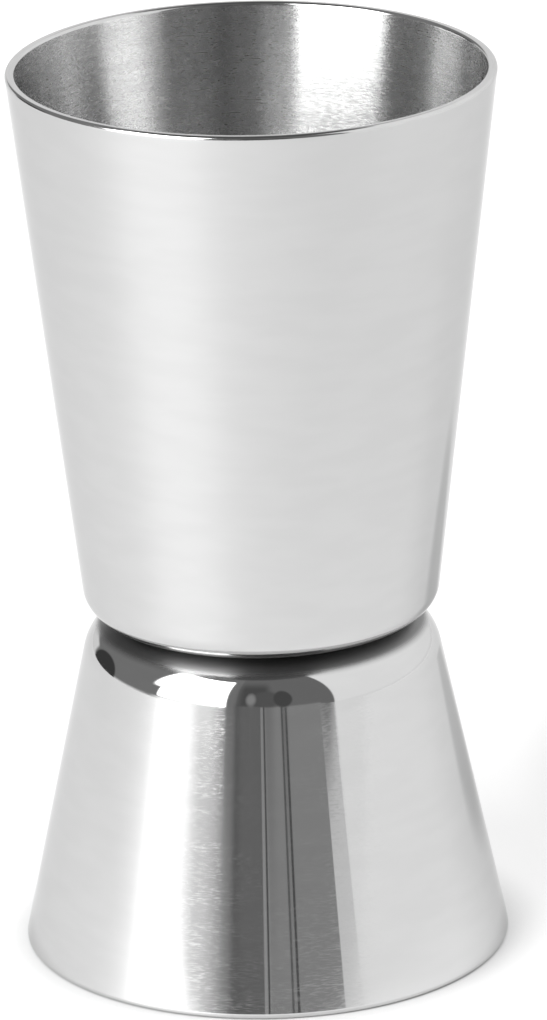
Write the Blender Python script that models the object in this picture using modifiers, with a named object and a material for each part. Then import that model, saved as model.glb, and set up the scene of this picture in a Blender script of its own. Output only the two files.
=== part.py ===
"""Double bar jigger: two pressed stainless cups of different capacity, spot welded base to base.

Frame: metres, +Z up. The jigger stands on the small cup's mouth. The origin is the centre of that
mouth, in the plane that the jigger stands on, and +Z is the axis of both cups.
"""

import math

import bmesh
import bpy

MM = 0.001

# ---- Driving dimensions ----
SHEET = 0.9 * MM            # stainless sheet that both cups are pressed from
LIP_ROUND = 0.35 * MM       # radius on both edges of each mouth's lip
HEIGHT = 82.0 * MM          # over both lips
SMALL_CUP_HEIGHT = 31.4 * MM
BASE_GAP = 0.1 * MM         # modelling clearance between the two bases, which touch on the real part

LARGE_MOUTH_RADIUS = 21.85 * MM   # outer wall line, carried up to the lip's plane
LARGE_BASE_RADIUS = 15.9 * MM     # outer wall line, carried down to the base's plane
LARGE_CORNER = 2.4 * MM           # outer radius between wall and base

SMALL_MOUTH_RADIUS = 22.1 * MM
SMALL_BASE_RADIUS = 15.4 * MM
SMALL_CORNER = 4.8 * MM

WELD_COUNT = 3
WELD_CIRCLE_RADIUS = 6.0 * MM
NUGGET_RADIUS = 1.9 * MM          # about twice the square root of the sheet, in millimetres
NUGGET_DEPTH = 0.42 * MM          # how far a nugget reaches into each base
NUGGET_CLEARANCE = 0.08 * MM
MARK_RADIUS = 2.2 * MM            # the shallow mark that a welding electrode leaves inside each cup
MARK_DEPTH = 0.1 * MM
MARK_TAPER = 0.3 * MM             # how much narrower the mark is at its bottom

WALL_STEPS = 72             # facets round a cup
NUGGET_STEPS = 24
CORNER_POINTS = 7
LIP_POINTS = 5
MERGE = 0.01 * MM

LARGE_CUP_HEIGHT = HEIGHT - SMALL_CUP_HEIGHT - BASE_GAP
LARGE_BASE_Z = SMALL_CUP_HEIGHT + BASE_GAP
INTERFACE_Z = SMALL_CUP_HEIGHT + BASE_GAP / 2


def clear_scene():
    for obj in list(bpy.data.objects):
        bpy.data.objects.remove(obj)


def new_collection(name):
    collection = bpy.data.collections.new(name)
    bpy.context.scene.collection.children.link(collection)
    return collection


def metal(name, colour, roughness):
    material = bpy.data.materials.new(name)
    material.use_nodes = True
    shader = material.node_tree.nodes["Principled BSDF"]
    shader.inputs["Base Color"].default_value = (*colour, 1.0)
    shader.inputs["Metallic"].default_value = 1.0
    shader.inputs["Roughness"].default_value = roughness
    return material


def arc(centre_r, centre_z, radius, start, end, points):
    """Points on an arc from angle start to angle end, in radians from the +r direction."""
    angles = [start + (end - start) * i / (points - 1) for i in range(points)]
    return [(centre_r + radius * math.cos(a), centre_z + radius * math.sin(a)) for a in angles]


def cup_profile(mouth_radius, base_radius, height, corner):
    """Half section of a cup whose base stands at z = 0 and whose mouth opens upwards.

    It starts on the axis at the inner floor, goes up the inner wall and over the lip, and comes
    down the outer wall to the axis again.
    """
    flare = math.atan2(mouth_radius - base_radius, height)
    tangent, secant = math.tan(flare), 1 / math.cos(flare)
    up, down, inward = math.pi / 2, -math.pi / 2, math.pi - flare

    corner_r = base_radius + corner * (tangent - secant)
    inner_corner = arc(corner_r, corner, corner - SHEET, down, -flare, CORNER_POINTS)
    outer_corner = arc(corner_r, corner, corner, -flare, down, CORNER_POINTS)

    lip_z = height - LIP_ROUND
    wall_r = base_radius + lip_z * tangent
    outer_lip_r = wall_r - LIP_ROUND * secant
    inner_lip_r = wall_r - (SHEET - LIP_ROUND) * secant
    inner_lip = arc(inner_lip_r, lip_z, LIP_ROUND, inward, up, LIP_POINTS)
    outer_lip = arc(outer_lip_r, lip_z, LIP_ROUND, up, -flare, LIP_POINTS)

    return [(0, SHEET), *inner_corner, *inner_lip, *outer_lip, *outer_corner, (0, 0)]


def lens_profile(radius, half_thickness, points):
    """Half section of a lens, from its top on the axis to its foot on the axis."""
    angles = [math.pi / 2 - math.pi * i / (points - 1) for i in range(points)]
    return [(radius * max(math.cos(a), 0.0), half_thickness * math.sin(a)) for a in angles]


def turned(name, profile, steps, collection):
    """A solid of revolution about +Z: the profile's points with a Screw modifier."""
    mesh = bpy.data.meshes.new(name)
    edges = [(i, i + 1) for i in range(len(profile) - 1)]
    mesh.from_pydata([(r, 0, z) for r, z in profile], edges, [])
    obj = bpy.data.objects.new(name, mesh)
    collection.objects.link(obj)
    screw = obj.modifiers.new("Turn", "SCREW")
    screw.axis = "Z"
    screw.steps = screw.render_steps = steps
    screw.use_merge_vertices = True
    screw.merge_threshold = MERGE
    screw.use_smooth_shade = True
    return obj


def weld_places():
    """Centre of each weld on the plane between the bases."""
    turn = 2 * math.pi / WELD_COUNT
    angles = [math.pi / 2 + turn * i for i in range(WELD_COUNT)]
    return [(WELD_CIRCLE_RADIUS * math.cos(a), WELD_CIRCLE_RADIUS * math.sin(a)) for a in angles]


def add_cutter(name, mesh, place, cutters, upside_down=False):
    cutter = bpy.data.objects.new(name, mesh)
    cutter.location = place
    # Half a facet of turn keeps the cutter's corners off the floor's radial edges.
    cutter.rotation_euler = (math.pi if upside_down else 0.0, 0.0, math.pi / NUGGET_STEPS)
    cutter.hide_render = True
    cutter.display_type = "WIRE"
    cutters.objects.link(cutter)
    return cutter


def cone_mesh(name, bottom_radius, top_radius, depth):
    """A cylinder or a cone frustum, centred on its own origin."""
    mesh = bpy.data.meshes.new(name)
    shape = bmesh.new()
    bmesh.ops.create_cone(
        shape,
        cap_ends=True,
        segments=NUGGET_STEPS,
        radius1=bottom_radius,
        radius2=top_radius,
        depth=depth,
    )
    shape.to_mesh(mesh)
    shape.free()
    return mesh


def cut(obj, cutter):
    boolean = obj.modifiers.new(cutter.name, "BOOLEAN")
    boolean.operation = "DIFFERENCE"
    boolean.object = cutter


def cut_welds(large_cup, small_cup, cutters):
    """Cuts each weld's pocket between the two bases, and the electrode's mark inside each cup."""
    pocket_radius = NUGGET_RADIUS + NUGGET_CLEARANCE
    pocket_height = 2 * (NUGGET_DEPTH + NUGGET_CLEARANCE) + BASE_GAP
    pocket = cone_mesh("weld_pocket", pocket_radius, pocket_radius, pocket_height)
    mark = cone_mesh("electrode_mark", MARK_RADIUS - MARK_TAPER, MARK_RADIUS + MARK_TAPER, 2 * MARK_DEPTH)
    large_floor_z = LARGE_BASE_Z + SHEET
    small_floor_z = SMALL_CUP_HEIGHT - SHEET
    for number, (x, y) in enumerate(weld_places(), start=1):
        in_both = add_cutter(f"weld_pocket_{number}", pocket, (x, y, INTERFACE_Z), cutters)
        cut(large_cup, in_both)
        cut(small_cup, in_both)
        above = add_cutter(f"large_mark_{number}", mark, (x, y, large_floor_z), cutters)
        cut(large_cup, above)
        below = add_cutter(f"small_mark_{number}", mark, (x, y, small_floor_z), cutters, upside_down=True)
        cut(small_cup, below)


def add_nuggets(parts, material):
    half = NUGGET_DEPTH + BASE_GAP / 2
    profile = lens_profile(NUGGET_RADIUS, half, points=9)
    for number, (x, y) in enumerate(weld_places(), start=1):
        nugget = turned(f"weld_nugget_{number}", profile, NUGGET_STEPS, parts)
        nugget.location = (x, y, INTERFACE_Z)
        nugget.data.materials.append(material)


def main():
    clear_scene()
    parts = new_collection("bar_jigger")
    cutters = new_collection("cutters")
    polished = metal("polished_stainless", (0.80, 0.80, 0.79), 0.12)
    weld_metal = metal("weld_metal", (0.45, 0.44, 0.43), 0.45)

    large_cup = turned(
        "large_cup",
        cup_profile(LARGE_MOUTH_RADIUS, LARGE_BASE_RADIUS, LARGE_CUP_HEIGHT, LARGE_CORNER),
        WALL_STEPS,
        parts,
    )
    large_cup.location.z = LARGE_BASE_Z
    small_cup = turned(
        "small_cup",
        cup_profile(SMALL_MOUTH_RADIUS, SMALL_BASE_RADIUS, SMALL_CUP_HEIGHT, SMALL_CORNER),
        WALL_STEPS,
        parts,
    )
    small_cup.location.z = SMALL_CUP_HEIGHT
    small_cup.rotation_euler.x = math.pi
    for cup in (large_cup, small_cup):
        cup.data.materials.append(polished)

    cut_welds(large_cup, small_cup, cutters)
    add_nuggets(parts, weld_metal)


main()
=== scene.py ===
"""Looks of the bar jigger: two pressed stainless cups, polished outside and satin inside.

Frame: metres, +Z up, as in the CAD model. The camera looks along +Y from above.
"""

import math

import bpy
from mathutils import Matrix, Vector


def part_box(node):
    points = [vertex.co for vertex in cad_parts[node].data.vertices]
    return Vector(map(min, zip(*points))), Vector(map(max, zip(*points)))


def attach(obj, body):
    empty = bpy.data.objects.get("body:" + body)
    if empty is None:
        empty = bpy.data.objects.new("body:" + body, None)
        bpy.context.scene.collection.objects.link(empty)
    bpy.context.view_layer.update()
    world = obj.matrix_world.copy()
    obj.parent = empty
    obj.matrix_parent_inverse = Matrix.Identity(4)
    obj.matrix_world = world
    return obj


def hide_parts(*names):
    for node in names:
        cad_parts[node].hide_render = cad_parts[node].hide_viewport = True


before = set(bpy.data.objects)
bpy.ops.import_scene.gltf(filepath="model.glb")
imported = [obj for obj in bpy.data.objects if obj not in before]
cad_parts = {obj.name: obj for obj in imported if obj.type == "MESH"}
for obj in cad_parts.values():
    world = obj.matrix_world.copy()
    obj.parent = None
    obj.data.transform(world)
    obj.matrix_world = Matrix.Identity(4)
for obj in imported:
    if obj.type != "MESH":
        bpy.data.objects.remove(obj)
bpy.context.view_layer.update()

MM = 0.001

# ---- Cup sections, as in the CAD model ----
SHEET = 0.9 * MM
LIP_ROUND = 0.35 * MM
LARGE_MOUTH_RADIUS = 21.85 * MM
LARGE_BASE_RADIUS = 15.9 * MM
LARGE_CORNER = 2.4 * MM
SMALL_MOUTH_RADIUS = 22.1 * MM
SMALL_BASE_RADIUS = 15.4 * MM
SMALL_CORNER = 4.8 * MM
WELD_CIRCLE_RADIUS = 6.0 * MM
POCKET_RADIUS = 1.98 * MM       # lens-shaped pocket round each weld nugget, in the outer base
POCKET_DEPTH = 0.5 * MM
MARK_RADIUS = 2.5 * MM          # shallow mark of the welding electrode, on the inner floor
MARK_DEPTH = 0.1 * MM
MARK_EDGE = 0.6 * MM            # width of the mark's smooth edge
ON_A_FLAT = 0.001 * MM          # how close to a flat's height a vertex has to be to lie on that flat

# ---- Mesh fineness ----
WALL_STEPS = 360
WALL_RINGS = 24
CORNER_POINTS = 25
LIP_POINTS = 13
WELD_RING_STEP = 0.15 * MM      # ring spacing on the flats, where the welds are
PLAIN_STEPS = 4                 # ring spacings on the rest of a flat, on each side of the welds

# ---- Materials ----
OUTSIDE = 0                     # material slots of a cup
INSIDE = 1
LIP = 2
EDGE_TINT = (0.8, 0.8, 0.8, 1.0)
ACROSS_THE_MARKS = 0.25         # anisotropic rotation, as a share of a full turn
NOISE_RANGE = (0.3, 0.7)        # most of a noise's values lie in this range
# Lines, patches and grain are noises: (change a radian round the axis, change a metre across that)
SATIN_ANISOTROPY = 1.0
SATIN_LINES = (30.0, 5500.0)
SATIN_PATCHES = (2.5, 1200.0)
SATIN_GRAIN = (130.0, 9000.0)
SATIN_PATCH_SHARE = 0.45              # share of the patches in the tone, the rest being the lines
SATIN_GRAIN_SHARE = 0.85              # share of the grain in the relief, the rest being the lines
SATIN_TONES = (0.57, 0.68)
SATIN_ROUGHNESS_RANGE = (0.35, 0.65)
SATIN_ROUGHNESS = (0.235, 0.275)
SATIN_BUMP = 0.005 * MM
POLISHED_ANISOTROPY = 0.8
POLISHED_LINES = (30.0, 8000.0)
POLISHED_PATCHES = (3.0, 500.0)
POLISHED_LINE_SHARE = 0.15            # share of the lines in the relief, the rest being the patches
POLISHED_TONES = (0.595, 0.61)
POLISHED_ROUGHNESS = (0.036, 0.072)   # between the dashes and on them
POLISHED_BUMP = 0.00025 * MM
DASH_LINE_RANGE = (0.42, 0.72)        # range of the lines' noise over which a dash appears
DASH_PATCH_RANGE = (0.2, 0.7)         # range of the patches' noise over which the dashes get stronger
DASH_PATCH_STRENGTH = (0.4, 1.0)
DULL_AND_SHADE_BELOW = (1.8 * MM, 1.1 * MM)     # below the joint the outside turns dull, and darker as painted shade of the crevice, between these depths
DULL_AND_SHADE_ABOVE = (0.9 * MM, 0.4 * MM)     # and above it between these heights
# Painted shade: the darker tone of the outside in the crevice between the cups
PAINTED_WAIST_SHADE_TONE = 0.2
DULL_ROUGHNESS = 0.34
LIP_ANISOTROPY = 0.0
LIP_LINES = (10.0, 6000.0)
LIP_TONES = (0.59, 0.62)
LIP_ROUGHNESS = (0.07, 0.13)
LIP_BUMP = 0.0002 * MM
WELD_GRAIN = 2500.0                   # grains a metre
WELD_TONES = (0.36, 0.5)
WELD_ROUGHNESS = (0.38, 0.6)
WELD_BUMP = 0.02 * MM
WELD_BUMP_STRENGTH = 0.5

# ---- Camera ----
CAMERA_TARGET = (1.24 * MM, 0.0, 40.44 * MM)
CAMERA_DISTANCE = 722.7 * MM
CAMERA_ELEVATION = math.radians(19.31)
CAMERA_ROLL = math.radians(-1.11)
CAMERA_LENS = 283.2
CAMERA_CLIP_END = 20.0

# ---- Studio: what surrounds the jigger, in degrees. Azimuth 0 is the camera's side, 90 is +X ----
WHITE = (1.0, 1.0, 1.0, 1.0)
ROOM_BRIGHTNESS = 0.25
SEEN_BRIGHTNESS = 1.1           # what the camera sees directly behind the jigger
# (name, azimuth from and to, elevation from and to, soft edge in azimuth and in elevation, brightness)
PANELS = (
    ("dark_ceiling", -180, 180, 61, 95, 1, 2, 0.1),
    ("backdrop", 150, 200, -12, 36, 10, 10, 1.05),
    ("right_card", 43, 155, -12, 61, 2, 1.5, 1.06),
    ("right_card_top", 43, 150, 2, 61, 2, 1.5, 1.13),
    ("left_softbox", -69.5, -24, 3.8, 54, 3, 2, 7.2),
    ("softbox_wing", -75.5, -66, 22, 52, 6, 8, 7.2),
    ("left_card", -60, -26.5, -12, 2.4, 20, 1.4, 0.94),
    ("left_card_top", -60, -31, 2.1, 4, 20, 0.8, 1.5),
    ("softbox_foot", -71, -42, -12, 2.4, 12, 1.4, 1.75),
    ("left_low_card", -150, -77, -12, 1, 30, 4, 1.0),
    ("back_left_card", -175, -138, -12, 9, 4, 3, 1.0),
    ("camera_side", -17, 45, 1.65, 61, 1.5, 0.1, 0.2),
    ("camera_side_low", -12, 38, -12, 3.17, 4, 3, 0.3),
    ("dark_left_of_stand", -16, 4, -12, 50, 8, 20, 0.105),
    ("dark_left_low", -16, 4, -12, 9, 8, 4, 0.12),
    ("dark_left_mid", -16, 4, 0.9, 6, 8, 1.6, 0.185),
    ("stand_side", -1.2, 36, -12, 5, 0.4, 3, 0.32),
    ("right_card_foot", 35.2, 44, -12, 1.65, 0.5, 0.1, 0.82),
    ("stand_light_1", -2, -0.6, -12, 5, 0.3, 0.3, 0.4),
    ("stand_leg_1", -0.3, 0.5, -12, 6, 0.3, 0.3, 0.09),
    ("stand_light_2", 0.7, 1.4, -12, 5, 0.3, 0.3, 0.36),
    ("stand_leg_2", 10.5, 11.6, -12, 6, 0.3, 0.3, 0.15),
    ("stand_leg_3", 13.0, 14.2, -12, 3.3, 0.3, 0.3, 0.1),
)
# (name, azimuth and elevation of its middle, half its width and half its height, softness, brightness)
ROUND_SHAPES = (
    ("black_case", -122, 2, 14, 15, 0.15, 0.06),
    ("camera_body", 2, 20, 10, 16, 0.5, 0.13),
    ("lens_glint", -8, 19, 3, 12, 0.9, 0.34),
    ("camera_head", 12.5, 20, 6, 16.5, 0.3, 0.09),
)

# ---- Floor ----
FLOOR_SIZE = 8.0
FLOOR_COLOUR = (0.43, 0.43, 0.43, 1.0)
FLOOR_ROUGHNESS = 0.55
# The floor glows, which stands for fill light from above. (X from and to, glow from and to)
RIGHT_FILL = (-50 * MM, 130 * MM, 0.7, 0.56)
LEFT_FILL = (-200 * MM, -60 * MM, 0.93, 1.0)
CONTACT_SHADOW_REACH = 4.5 * MM             # within this distance of the jigger the floor glows less
CONTACT_SHADOW_SAMPLES = 6
SHADE_CENTRE = (56 * MM, 66 * MM, 0.0)      # the jigger's long shadow, away from the softbox
SHADE_ALONG = Vector((0.51, 0.86, 0.0))
SHADE_ACROSS = Vector((0.86, -0.51, 0.0))
SHADE_HALF_LENGTH = 45 * MM
SHADE_HALF_WIDTH = 20 * MM
SHADE_EDGE = (0.3, 1.4)                     # where it starts to thin out and ends, in squared half sizes
SHADE_GLOW = 0.6                            # glow left in its middle

# ---- Light paths ----
GLOSSY_BOUNCES = 12
MAX_BOUNCES = 16


def add_object(name, data):
    obj = bpy.data.objects.new(name, data)
    bpy.context.scene.collection.objects.link(obj)
    return obj


# ---- Shapes ----
def arc(centre_r, centre_z, radius, start, end, points):
    """Points on an arc from angle start to angle end, in radians from the +r direction."""
    angles = [start + (end - start) * i / (points - 1) for i in range(points)]
    return [(centre_r + radius * math.cos(a), centre_z + radius * math.sin(a)) for a in angles]


def between(start, end, steps):
    """Points inside the line from start to end, closer together near both ends."""
    shares = [0.5 - 0.5 * math.cos(math.pi * i / steps) for i in range(1, steps)]
    return [(start[0] + (end[0] - start[0]) * s, start[1] + (end[1] - start[1]) * s) for s in shares]


def flat_radii(limit):
    """Ring radii on a flat base or floor, close together across the welds."""
    first = WELD_CIRCLE_RADIUS - MARK_RADIUS
    count = round(2 * MARK_RADIUS / WELD_RING_STEP)
    inner = [first * i / PLAIN_STEPS for i in range(1, PLAIN_STEPS)]
    welds = [first + WELD_RING_STEP * i for i in range(count + 1)]
    outer = [welds[-1] + (limit - welds[-1]) * i / PLAIN_STEPS for i in range(1, PLAIN_STEPS)]
    return inner + welds + outer


def cup_section(mouth_radius, base_radius, height, corner, widest):
    """Half section of a cup whose base stands at z = 0, from the inner floor over the lip to the base.

    No point of the lip is further from the axis than widest. Returns the section's points, the index
    of the lip's first point, and the index after its last one.
    """
    flare = math.atan2(mouth_radius - base_radius, height)
    tangent, secant = math.tan(flare), 1 / math.cos(flare)
    up, down, inward = math.pi / 2, -math.pi / 2, math.pi - flare

    corner_r = base_radius + corner * (tangent - secant)
    inner_corner = arc(corner_r, corner, corner - SHEET, down, -flare, CORNER_POINTS)
    outer_corner = arc(corner_r, corner, corner, -flare, down, CORNER_POINTS)

    lip_z = height - LIP_ROUND
    wall_r = base_radius + lip_z * tangent
    inner_lip = arc(wall_r - (SHEET - LIP_ROUND) * secant, lip_z, LIP_ROUND, inward, up, LIP_POINTS)
    outer_lip = arc(wall_r - LIP_ROUND * secant, lip_z, LIP_ROUND, up, -flare, LIP_POINTS)

    floor = [(r, SHEET) for r in flat_radii(corner_r)]
    base = [(r, 0.0) for r in reversed(flat_radii(corner_r))]
    inside = [(0.0, SHEET), *floor, *inner_corner, *between(inner_corner[-1], inner_lip[0], WALL_RINGS)]
    lip = [(min(r, widest), z) for r, z in [*inner_lip, *outer_lip]]
    outside = [*between(outer_lip[-1], outer_corner[0], WALL_RINGS), *outer_corner, *base, (0.0, 0.0)]
    return inside + lip + outside, len(inside), len(inside) + len(lip)


def turned(name, section, lip_start, lip_end):
    """A closed solid of revolution about +Z. Its outside, inside and lip have a material slot each."""
    turn = 2 * math.pi / WALL_STEPS
    circle = [(math.cos(turn * i), math.sin(turn * i)) for i in range(WALL_STEPS)]
    verts = [(0.0, 0.0, section[0][1])]
    for r, z in section[1:-1]:
        verts += [(r * c, r * s, z) for c, s in circle]
    verts.append((0.0, 0.0, section[-1][1]))

    rings = len(section) - 2
    last = 1 + (rings - 1) * WALL_STEPS
    faces = []
    slots = []
    for i in range(WALL_STEPS):
        j = (i + 1) % WALL_STEPS
        faces.append((0, 1 + i, 1 + j))
        slots.append(INSIDE)
        for k in range(rings - 1):
            a, b = 1 + k * WALL_STEPS, 1 + (k + 1) * WALL_STEPS
            faces.append((a + i, b + i, b + j, a + j))
            point = k + 1
            slots.append(INSIDE if point < lip_start else LIP if point < lip_end - 1 else OUTSIDE)
        faces.append((len(verts) - 1, last + j, last + i))
        slots.append(OUTSIDE)
    mesh = bpy.data.meshes.new(name)
    mesh.from_pydata(verts, [], faces)
    mesh.polygons.foreach_set("material_index", slots)
    mesh.shade_smooth()
    return add_object(name, mesh)


def press_welds(cup, centres):
    """Presses the electrode marks into the inner floor, and the nuggets' pockets into the base."""
    for vertex in cup.data.vertices:
        x, y, z = vertex.co
        away = min(math.hypot(x - cx, y - cy) for cx, cy in centres)
        if abs(z - SHEET) < ON_A_FLAT and away < MARK_RADIUS:
            share = min((MARK_RADIUS - away) / MARK_EDGE, 1.0)
            vertex.co.z -= MARK_DEPTH * share * share * (3 - 2 * share)
        if abs(z) < ON_A_FLAT and away < POCKET_RADIUS:
            vertex.co.z += POCKET_DEPTH * math.sqrt(1 - (away / POCKET_RADIUS) ** 2)


# ---- Shader node helpers ----
class Graph:
    """Adds nodes to a node tree. An input is a plain number or vector, or another node's output."""

    def __init__(self, tree):
        self.tree = tree

    def put(self, socket, value):
        if isinstance(value, bpy.types.NodeSocket):
            self.tree.links.new(value, socket)
        else:
            socket.default_value = value

    def node(self, kind, inputs=None, **settings):
        made = self.tree.nodes.new(kind)
        for name, value in settings.items():
            setattr(made, name, value)
        for name, value in (inputs or {}).items():
            self.put(made.inputs[name], value)
        return made

    def math(self, operation, *values):
        made = self.node("ShaderNodeMath", operation=operation)
        for socket, value in zip(made.inputs, values):
            self.put(socket, value)
        return made.outputs[0]

    def vector(self, operation, *values):
        made = self.node("ShaderNodeVectorMath", operation=operation)
        for socket, value in zip(made.inputs, values):
            self.put(socket, value)
        return made.outputs["Value" if operation in ("DOT_PRODUCT", "LENGTH") else "Vector"]

    def step(self, value, start, end, low=0.0, high=1.0):
        """Goes smoothly from low to high as value goes from start to end."""
        inputs = {"Value": value, "From Min": start, "From Max": end, "To Min": low, "To Max": high}
        return self.node("ShaderNodeMapRange", inputs, interpolation_type="SMOOTHSTEP").outputs[0]

    def mix(self, share, a, b):
        made = self.node("ShaderNodeMix", {"Factor": share, "A": a, "B": b}, data_type="FLOAT")
        return made.outputs["Result"]

    def noise(self, vector, scale, detail):
        inputs = {"Vector": vector, "Scale": scale, "Detail": detail}
        return self.node("ShaderNodeTexNoise", inputs).outputs["Fac"]


def new_material(name):
    material = bpy.data.materials.new(name)
    material.use_nodes = True
    return material, Graph(material.node_tree), material.node_tree.nodes["Principled BSDF"]


def turned_noise(graph, changes, detail):
    """A noise on a turned surface, drawn out round the axis.

    Its place changes by changes[0] a radian round the axis, and by changes[1] a metre across that.
    """
    turns, lines = changes
    position = graph.node("ShaderNodeTexCoord").outputs["Object"]
    parts = graph.node("ShaderNodeSeparateXYZ", {"Vector": position}).outputs
    flat = graph.node("ShaderNodeCombineXYZ", {"X": parts["X"], "Y": parts["Y"]}).outputs[0]
    radius = graph.vector("LENGTH", flat)
    around = graph.vector("NORMALIZE", flat)
    spread = graph.node("ShaderNodeVectorMath", {"Vector": around, "Scale": turns}, operation="SCALE")
    from_waist = graph.math("ABSOLUTE", graph.math("SUBTRACT", parts["Z"], WAIST))
    across = graph.math("MULTIPLY", graph.math("ADD", radius, from_waist), lines)
    lift = graph.node("ShaderNodeCombineXYZ", {"Z": across}).outputs[0]
    return graph.noise(graph.vector("ADD", spread.outputs[0], lift), 1.0, detail)


def grey(graph, tone):
    return graph.node("ShaderNodeCombineColor", {"Red": tone, "Green": tone, "Blue": tone}).outputs[0]


def steel(name, anisotropy):
    """A stainless steel whose scratches run round the jigger's axis."""
    material, graph, shader = new_material(name)
    shader.inputs["Metallic"].default_value = 1.0
    shader.inputs["Specular Tint"].default_value = EDGE_TINT
    shader.inputs["Anisotropic"].default_value = anisotropy
    shader.inputs["Anisotropic Rotation"].default_value = ACROSS_THE_MARKS
    tangent = graph.node("ShaderNodeTangent", direction_type="RADIAL", axis="Z")
    graph.put(shader.inputs["Tangent"], tangent.outputs[0])
    return material, graph, shader


def bump(graph, shader, height, distance, strength=1.0):
    bumped = graph.node("ShaderNodeBump", {"Strength": strength, "Distance": distance, "Height": height})
    graph.put(shader.inputs["Normal"], bumped.outputs[0])


def satin_steel():
    """The brushed insides: grainy, with long faint lines round the cup."""
    material, graph, shader = steel("satin_stainless", SATIN_ANISOTROPY)
    lines = turned_noise(graph, SATIN_LINES, detail=1.0)
    patches = turned_noise(graph, SATIN_PATCHES, detail=2.0)
    grain = turned_noise(graph, SATIN_GRAIN, detail=0.0)
    streaks = graph.mix(SATIN_PATCH_SHARE, lines, patches)
    relief = graph.mix(SATIN_GRAIN_SHARE, lines, grain)
    graph.put(shader.inputs["Base Color"], grey(graph, graph.step(streaks, *NOISE_RANGE, *SATIN_TONES)))
    graph.put(shader.inputs["Roughness"], graph.step(lines, *SATIN_ROUGHNESS_RANGE, *SATIN_ROUGHNESS))
    bump(graph, shader, relief, SATIN_BUMP)
    return material


def polished_steel():
    """The outsides: nearly a mirror, with fine brushed dashes; in the waist dull, with painted shade."""
    material, graph, shader = steel("polished_stainless", POLISHED_ANISOTROPY)
    position = graph.node("ShaderNodeTexCoord").outputs["Object"]
    height = graph.node("ShaderNodeSeparateXYZ", {"Vector": position}).outputs["Z"]
    below = graph.step(height, WAIST - DULL_AND_SHADE_BELOW[0], WAIST - DULL_AND_SHADE_BELOW[1])
    above = graph.step(height, WAIST + DULL_AND_SHADE_ABOVE[0], WAIST + DULL_AND_SHADE_ABOVE[1])
    dull_and_shade = graph.math("MULTIPLY", below, above)
    lines = turned_noise(graph, POLISHED_LINES, detail=1.0)
    patches = turned_noise(graph, POLISHED_PATCHES, detail=2.0)
    strength = graph.step(patches, *DASH_PATCH_RANGE, *DASH_PATCH_STRENGTH)
    dashes = graph.math("MULTIPLY", graph.step(lines, *DASH_LINE_RANGE), strength)
    # Painted shade: the tone darkens in the waist, the crevice between the cups
    tone = graph.mix(dull_and_shade, graph.step(patches, *NOISE_RANGE, *POLISHED_TONES), PAINTED_WAIST_SHADE_TONE)
    graph.put(shader.inputs["Base Color"], grey(graph, tone))
    roughness = graph.mix(dull_and_shade, graph.mix(dashes, *POLISHED_ROUGHNESS), DULL_ROUGHNESS)
    graph.put(shader.inputs["Roughness"], roughness)
    bump(graph, shader, graph.mix(POLISHED_LINE_SHARE, patches, lines), POLISHED_BUMP)
    return material


def lip_steel():
    """The rounded lips: polished, with fine marks round them."""
    material, graph, shader = steel("lip_polish", LIP_ANISOTROPY)
    lines = turned_noise(graph, LIP_LINES, detail=1.0)
    graph.put(shader.inputs["Base Color"], grey(graph, graph.step(lines, *NOISE_RANGE, *LIP_TONES)))
    graph.put(shader.inputs["Roughness"], graph.step(lines, *NOISE_RANGE, *LIP_ROUGHNESS))
    bump(graph, shader, lines, LIP_BUMP)
    return material


def weld_metal():
    """The nuggets: dull grey cast metal, with a fine even grain."""
    material, graph, shader = new_material("weld_metal")
    position = graph.node("ShaderNodeTexCoord").outputs["Object"]
    grain = graph.noise(position, WELD_GRAIN, detail=4.0)
    graph.put(shader.inputs["Base Color"], grey(graph, graph.step(grain, *NOISE_RANGE, *WELD_TONES)))
    shader.inputs["Metallic"].default_value = 1.0
    graph.put(shader.inputs["Roughness"], graph.step(grain, *NOISE_RANGE, *WELD_ROUGHNESS))
    bump(graph, shader, grain, WELD_BUMP, WELD_BUMP_STRENGTH)
    return material


# ---- Studio ----
def turn_from(graph, direction, azimuth):
    """How many degrees a direction is turned away from an azimuth, to either side."""
    centre = math.radians(azimuth)
    ahead = graph.vector("DOT_PRODUCT", direction, (math.sin(centre), -math.cos(centre), 0.0))
    aside = graph.vector("DOT_PRODUCT", direction, (math.cos(centre), math.sin(centre), 0.0))
    return graph.math("DEGREES", graph.math("ABSOLUTE", graph.math("ARCTAN2", aside, ahead)))


def panel_mask(graph, direction, elevation, panel):
    """1 where a direction lies on a studio panel, 0 off it, with a soft edge between."""
    _, start, end, low, high, side_soft, soft, _ = panel
    half = (end - start) / 2
    turn = turn_from(graph, direction, (start + end) / 2)
    inside = graph.step(turn, half + side_soft / 2, half - side_soft / 2) if half < 180 else 1.0
    above = graph.step(elevation, low - soft / 2, low + soft / 2)
    below = graph.step(elevation, high + soft / 2, high - soft / 2)
    return graph.math("MULTIPLY", inside, graph.math("MULTIPLY", above, below))


def round_mask(graph, direction, elevation, shape):
    """1 where a direction lies on a round shape of the studio, 0 off it, with a soft edge between."""
    _, azimuth, middle, half_width, half_height, soft, _ = shape
    across = graph.math("DIVIDE", turn_from(graph, direction, azimuth), half_width)
    up = graph.math("DIVIDE", graph.math("SUBTRACT", elevation, middle), half_height)
    away = graph.math("ADD", graph.math("MULTIPLY", across, across), graph.math("MULTIPLY", up, up))
    return graph.step(away, 1 + soft, 1 - soft)


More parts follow.
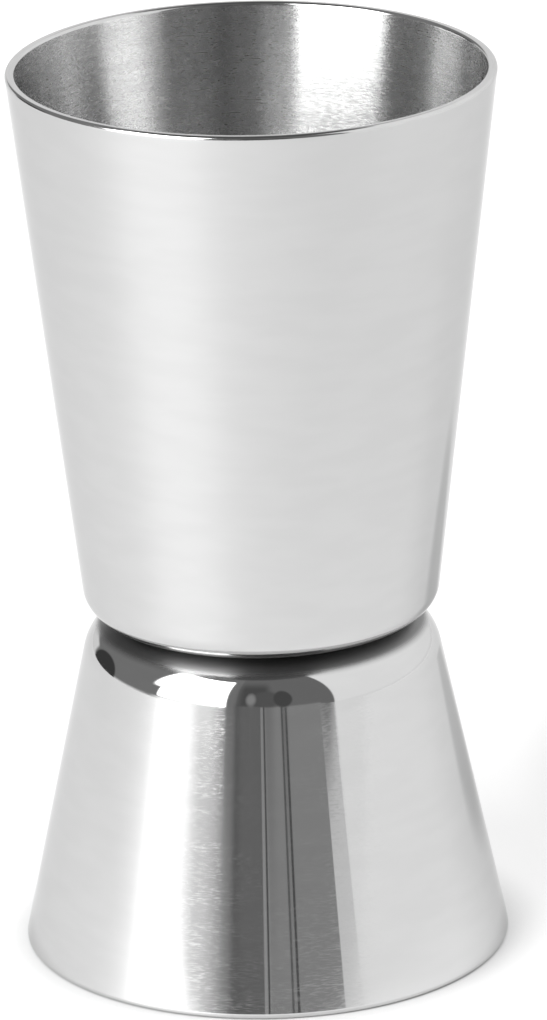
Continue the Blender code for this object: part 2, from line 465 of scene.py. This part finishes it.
def make_world():
    """The studio that the steel reflects: each panel and shape covers the ones before it."""
    world = bpy.data.worlds.new("studio")
    bpy.context.scene.world = world
    world.use_nodes = True
    graph = Graph(world.node_tree)
    direction = graph.node("ShaderNodeTexCoord").outputs["Generated"]
    height = graph.node("ShaderNodeSeparateXYZ", {"Vector": direction}).outputs["Z"]
    elevation = graph.math("DEGREES", graph.math("ARCSINE", height))
    light = ROOM_BRIGHTNESS
    for panel in PANELS:
        light = graph.mix(panel_mask(graph, direction, elevation, panel), light, panel[-1])
    for shape in ROUND_SHAPES:
        light = graph.mix(round_mask(graph, direction, elevation, shape), light, shape[-1])
    seen = graph.node("ShaderNodeLightPath").outputs["Is Camera Ray"]
    background = world.node_tree.nodes["Background"]
    background.inputs["Color"].default_value = WHITE
    graph.put(background.inputs["Strength"], graph.mix(seen, light, SEEN_BRIGHTNESS))


def floor_material():
    """Pale and matt, with a glow that thins out under the jigger's edge and in its long shadow."""
    material, graph, shader = new_material("floor")
    shader.inputs["Base Color"].default_value = FLOOR_COLOUR
    shader.inputs["Roughness"].default_value = FLOOR_ROUGHNESS
    shader.inputs["Emission Color"].default_value = WHITE
    occlusion = graph.node(
        "ShaderNodeAmbientOcclusion", {"Distance": CONTACT_SHADOW_REACH}, samples=CONTACT_SHADOW_SAMPLES
    )
    position = graph.node("ShaderNodeTexCoord").outputs["Object"]
    x = graph.node("ShaderNodeSeparateXYZ", {"Vector": position}).outputs["X"]
    side_fill = graph.math("MULTIPLY", graph.step(x, *RIGHT_FILL), graph.step(x, *LEFT_FILL))
    from_shade = graph.vector("SUBTRACT", position, SHADE_CENTRE)
    along = graph.vector("DOT_PRODUCT", from_shade, SHADE_ALONG / SHADE_HALF_LENGTH)
    across = graph.vector("DOT_PRODUCT", from_shade, SHADE_ACROSS / SHADE_HALF_WIDTH)
    away = graph.math("ADD", graph.math("MULTIPLY", along, along), graph.math("MULTIPLY", across, across))
    fill = graph.math("MULTIPLY", side_fill, graph.step(away, *SHADE_EDGE, SHADE_GLOW, 1.0))
    glow = graph.math("MULTIPLY", occlusion.outputs["AO"], fill)
    graph.put(shader.inputs["Emission Strength"], glow)
    return material


def make_floor():
    half = FLOOR_SIZE / 2
    corners = [(-half, -half, 0), (half, -half, 0), (half, half, 0), (-half, half, 0)]
    mesh = bpy.data.meshes.new("floor")
    mesh.from_pydata(corners, [], [(0, 1, 2, 3)])
    floor = add_object("floor", mesh)
    mesh.materials.append(floor_material())


def make_camera():
    camera = add_object("camera", bpy.data.cameras.new("camera"))
    camera.data.lens = CAMERA_LENS
    camera.data.clip_end = CAMERA_CLIP_END
    back = Vector((0.0, -math.cos(CAMERA_ELEVATION), math.sin(CAMERA_ELEVATION)))
    level = Vector((1.0, 0.0, 0.0))
    right = math.cos(CAMERA_ROLL) * level + math.sin(CAMERA_ROLL) * back.cross(level)
    turn = Matrix((right, back.cross(right), back)).transposed().to_4x4()
    camera.matrix_world = Matrix.Translation(Vector(CAMERA_TARGET) + back * CAMERA_DISTANCE) @ turn
    bpy.context.scene.camera = camera


def make_cup(name, node, section, placing, materials):
    """Adds a cup that takes its CAD node's place."""
    cup = turned(name, *section)
    press_welds(cup, weld_centres)
    cup.data.transform(placing)
    for material in materials:
        cup.data.materials.append(material)
    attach(cup, "root")
    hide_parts(node)


small_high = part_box("small_cup")[1]
small_height = small_high.z
large_low, large_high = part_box("large_cup")
large_height = large_high.z - large_low.z
WAIST = (small_height + large_low.z) / 2
nuggets = [node for name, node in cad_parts.items() if name.startswith("weld_nugget")]
weld_centres = []
for nugget in nuggets:
    low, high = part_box(nugget.name)
    weld_centres.append(((low.x + high.x) / 2, (low.y + high.y) / 2))

satin = satin_steel()
polish = polished_steel()
lip_polish = lip_steel()

make_cup(
    "tall_cup",
    "large_cup",
    cup_section(LARGE_MOUTH_RADIUS, LARGE_BASE_RADIUS, large_height, LARGE_CORNER, large_high.x),
    Matrix.Translation((0.0, 0.0, large_low.z)),
    (polish, satin, lip_polish),
)
make_cup(
    "short_cup",
    "small_cup",
    cup_section(SMALL_MOUTH_RADIUS, SMALL_BASE_RADIUS, small_height, SMALL_CORNER, small_high.x),
    Matrix.Translation((0.0, 0.0, small_height)) @ Matrix.Rotation(math.pi, 4, "X"),
    (polish, satin, lip_polish),
)
weld = weld_metal()
for nugget in nuggets:
    nugget.data.materials.clear()
    nugget.data.materials.append(weld)

make_floor()
make_world()
make_camera()
bpy.context.scene.view_settings.view_transform = "Standard"
bpy.context.scene.cycles.glossy_bounces = GLOSSY_BOUNCES
bpy.context.scene.cycles.max_bounces = MAX_BOUNCES
